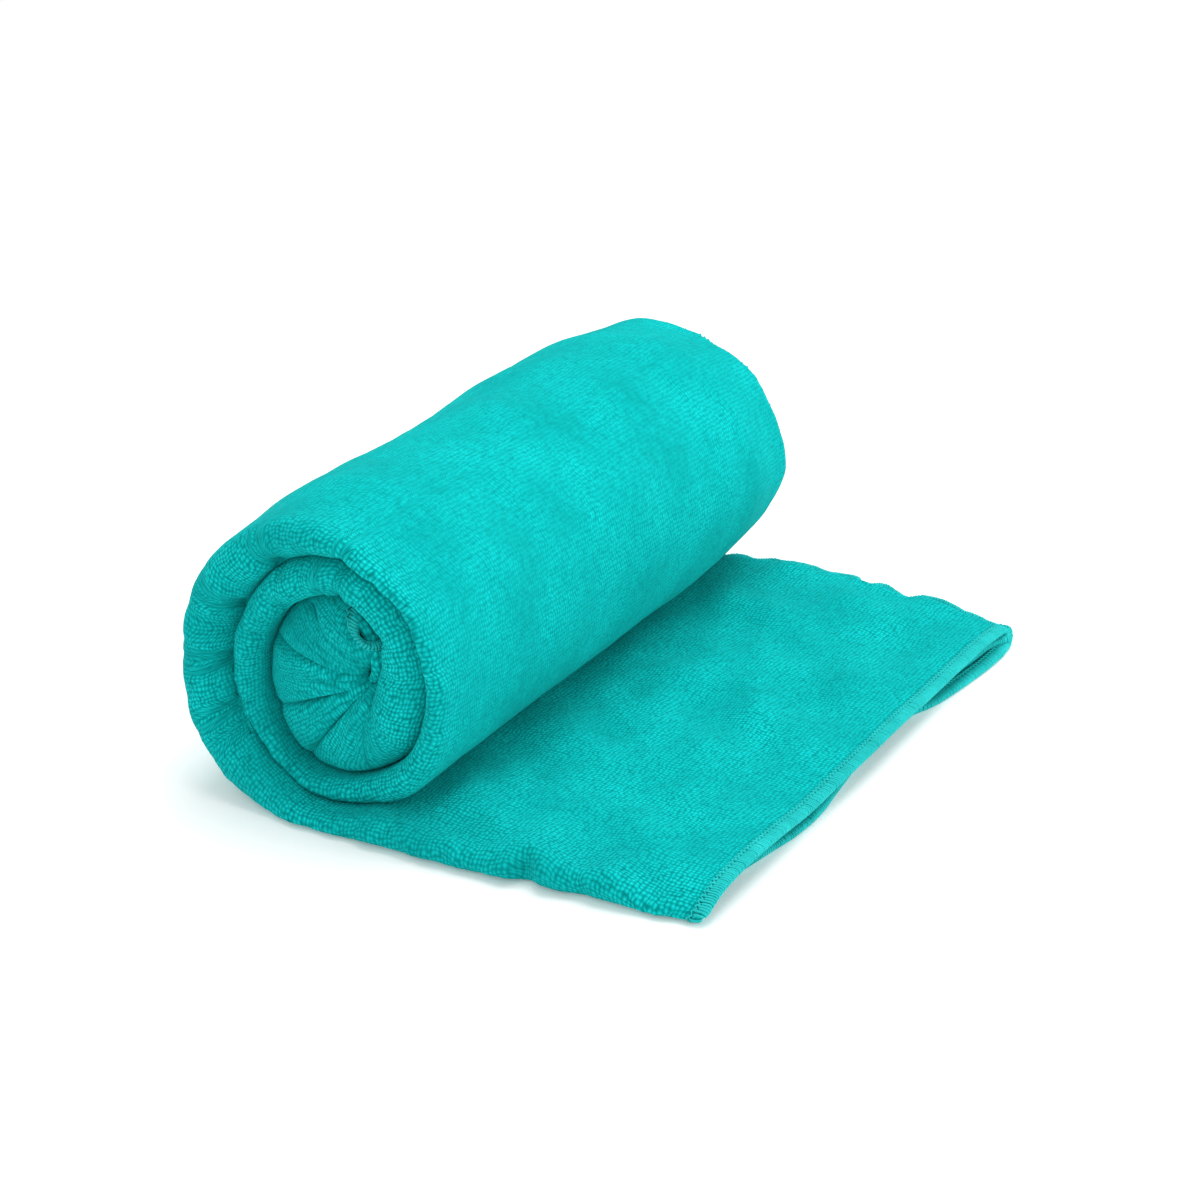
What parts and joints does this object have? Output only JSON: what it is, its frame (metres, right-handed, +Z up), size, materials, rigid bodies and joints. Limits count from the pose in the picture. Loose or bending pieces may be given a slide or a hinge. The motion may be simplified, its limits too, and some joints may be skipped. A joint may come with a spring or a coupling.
{
  "type": "quick dry towel",
  "caption": "Terry travel towel, folded lengthwise and rolled up, its overlocked loose end lying flat and able to lift.",
  "frame": {"origin": "on the floor, under the middle of the whole towel's box", "axes": "+X from the roll towards the loose end, +Y along the roll's axis away from the finished spiral end, +Z up"},
  "size_m": [0.212, 0.256, 0.11],
  "materials": {
    "terry": "turquoise microfibre terry loops, matte with a soft sheen",
    "overlock_thread": "turquoise polyester overlock thread, lightly glossy"
  },
  "bodies": {
    "roll": {"rolled_cloth": "terry", "cloth_under_roll": "terry", "near_side_overlock_rolled": "overlock_thread", "far_side_overlock_rolled": "overlock_thread", "core_end_overlock": "overlock_thread"},
    "loose_end": {"loose_end_cloth": "terry", "near_side_overlock_loose": "overlock_thread", "far_side_overlock_loose": "overlock_thread", "loose_end_overlock": "overlock_thread"}
  },
  "joints": [
    {"name": "loose_end_lift", "type": "hinge", "parent": "roll", "child": "loose_end", "pos_m": [-0.006, 0, 0.011], "axis": [0, -1, 0], "range_deg": [0, 75]}
  ]
}
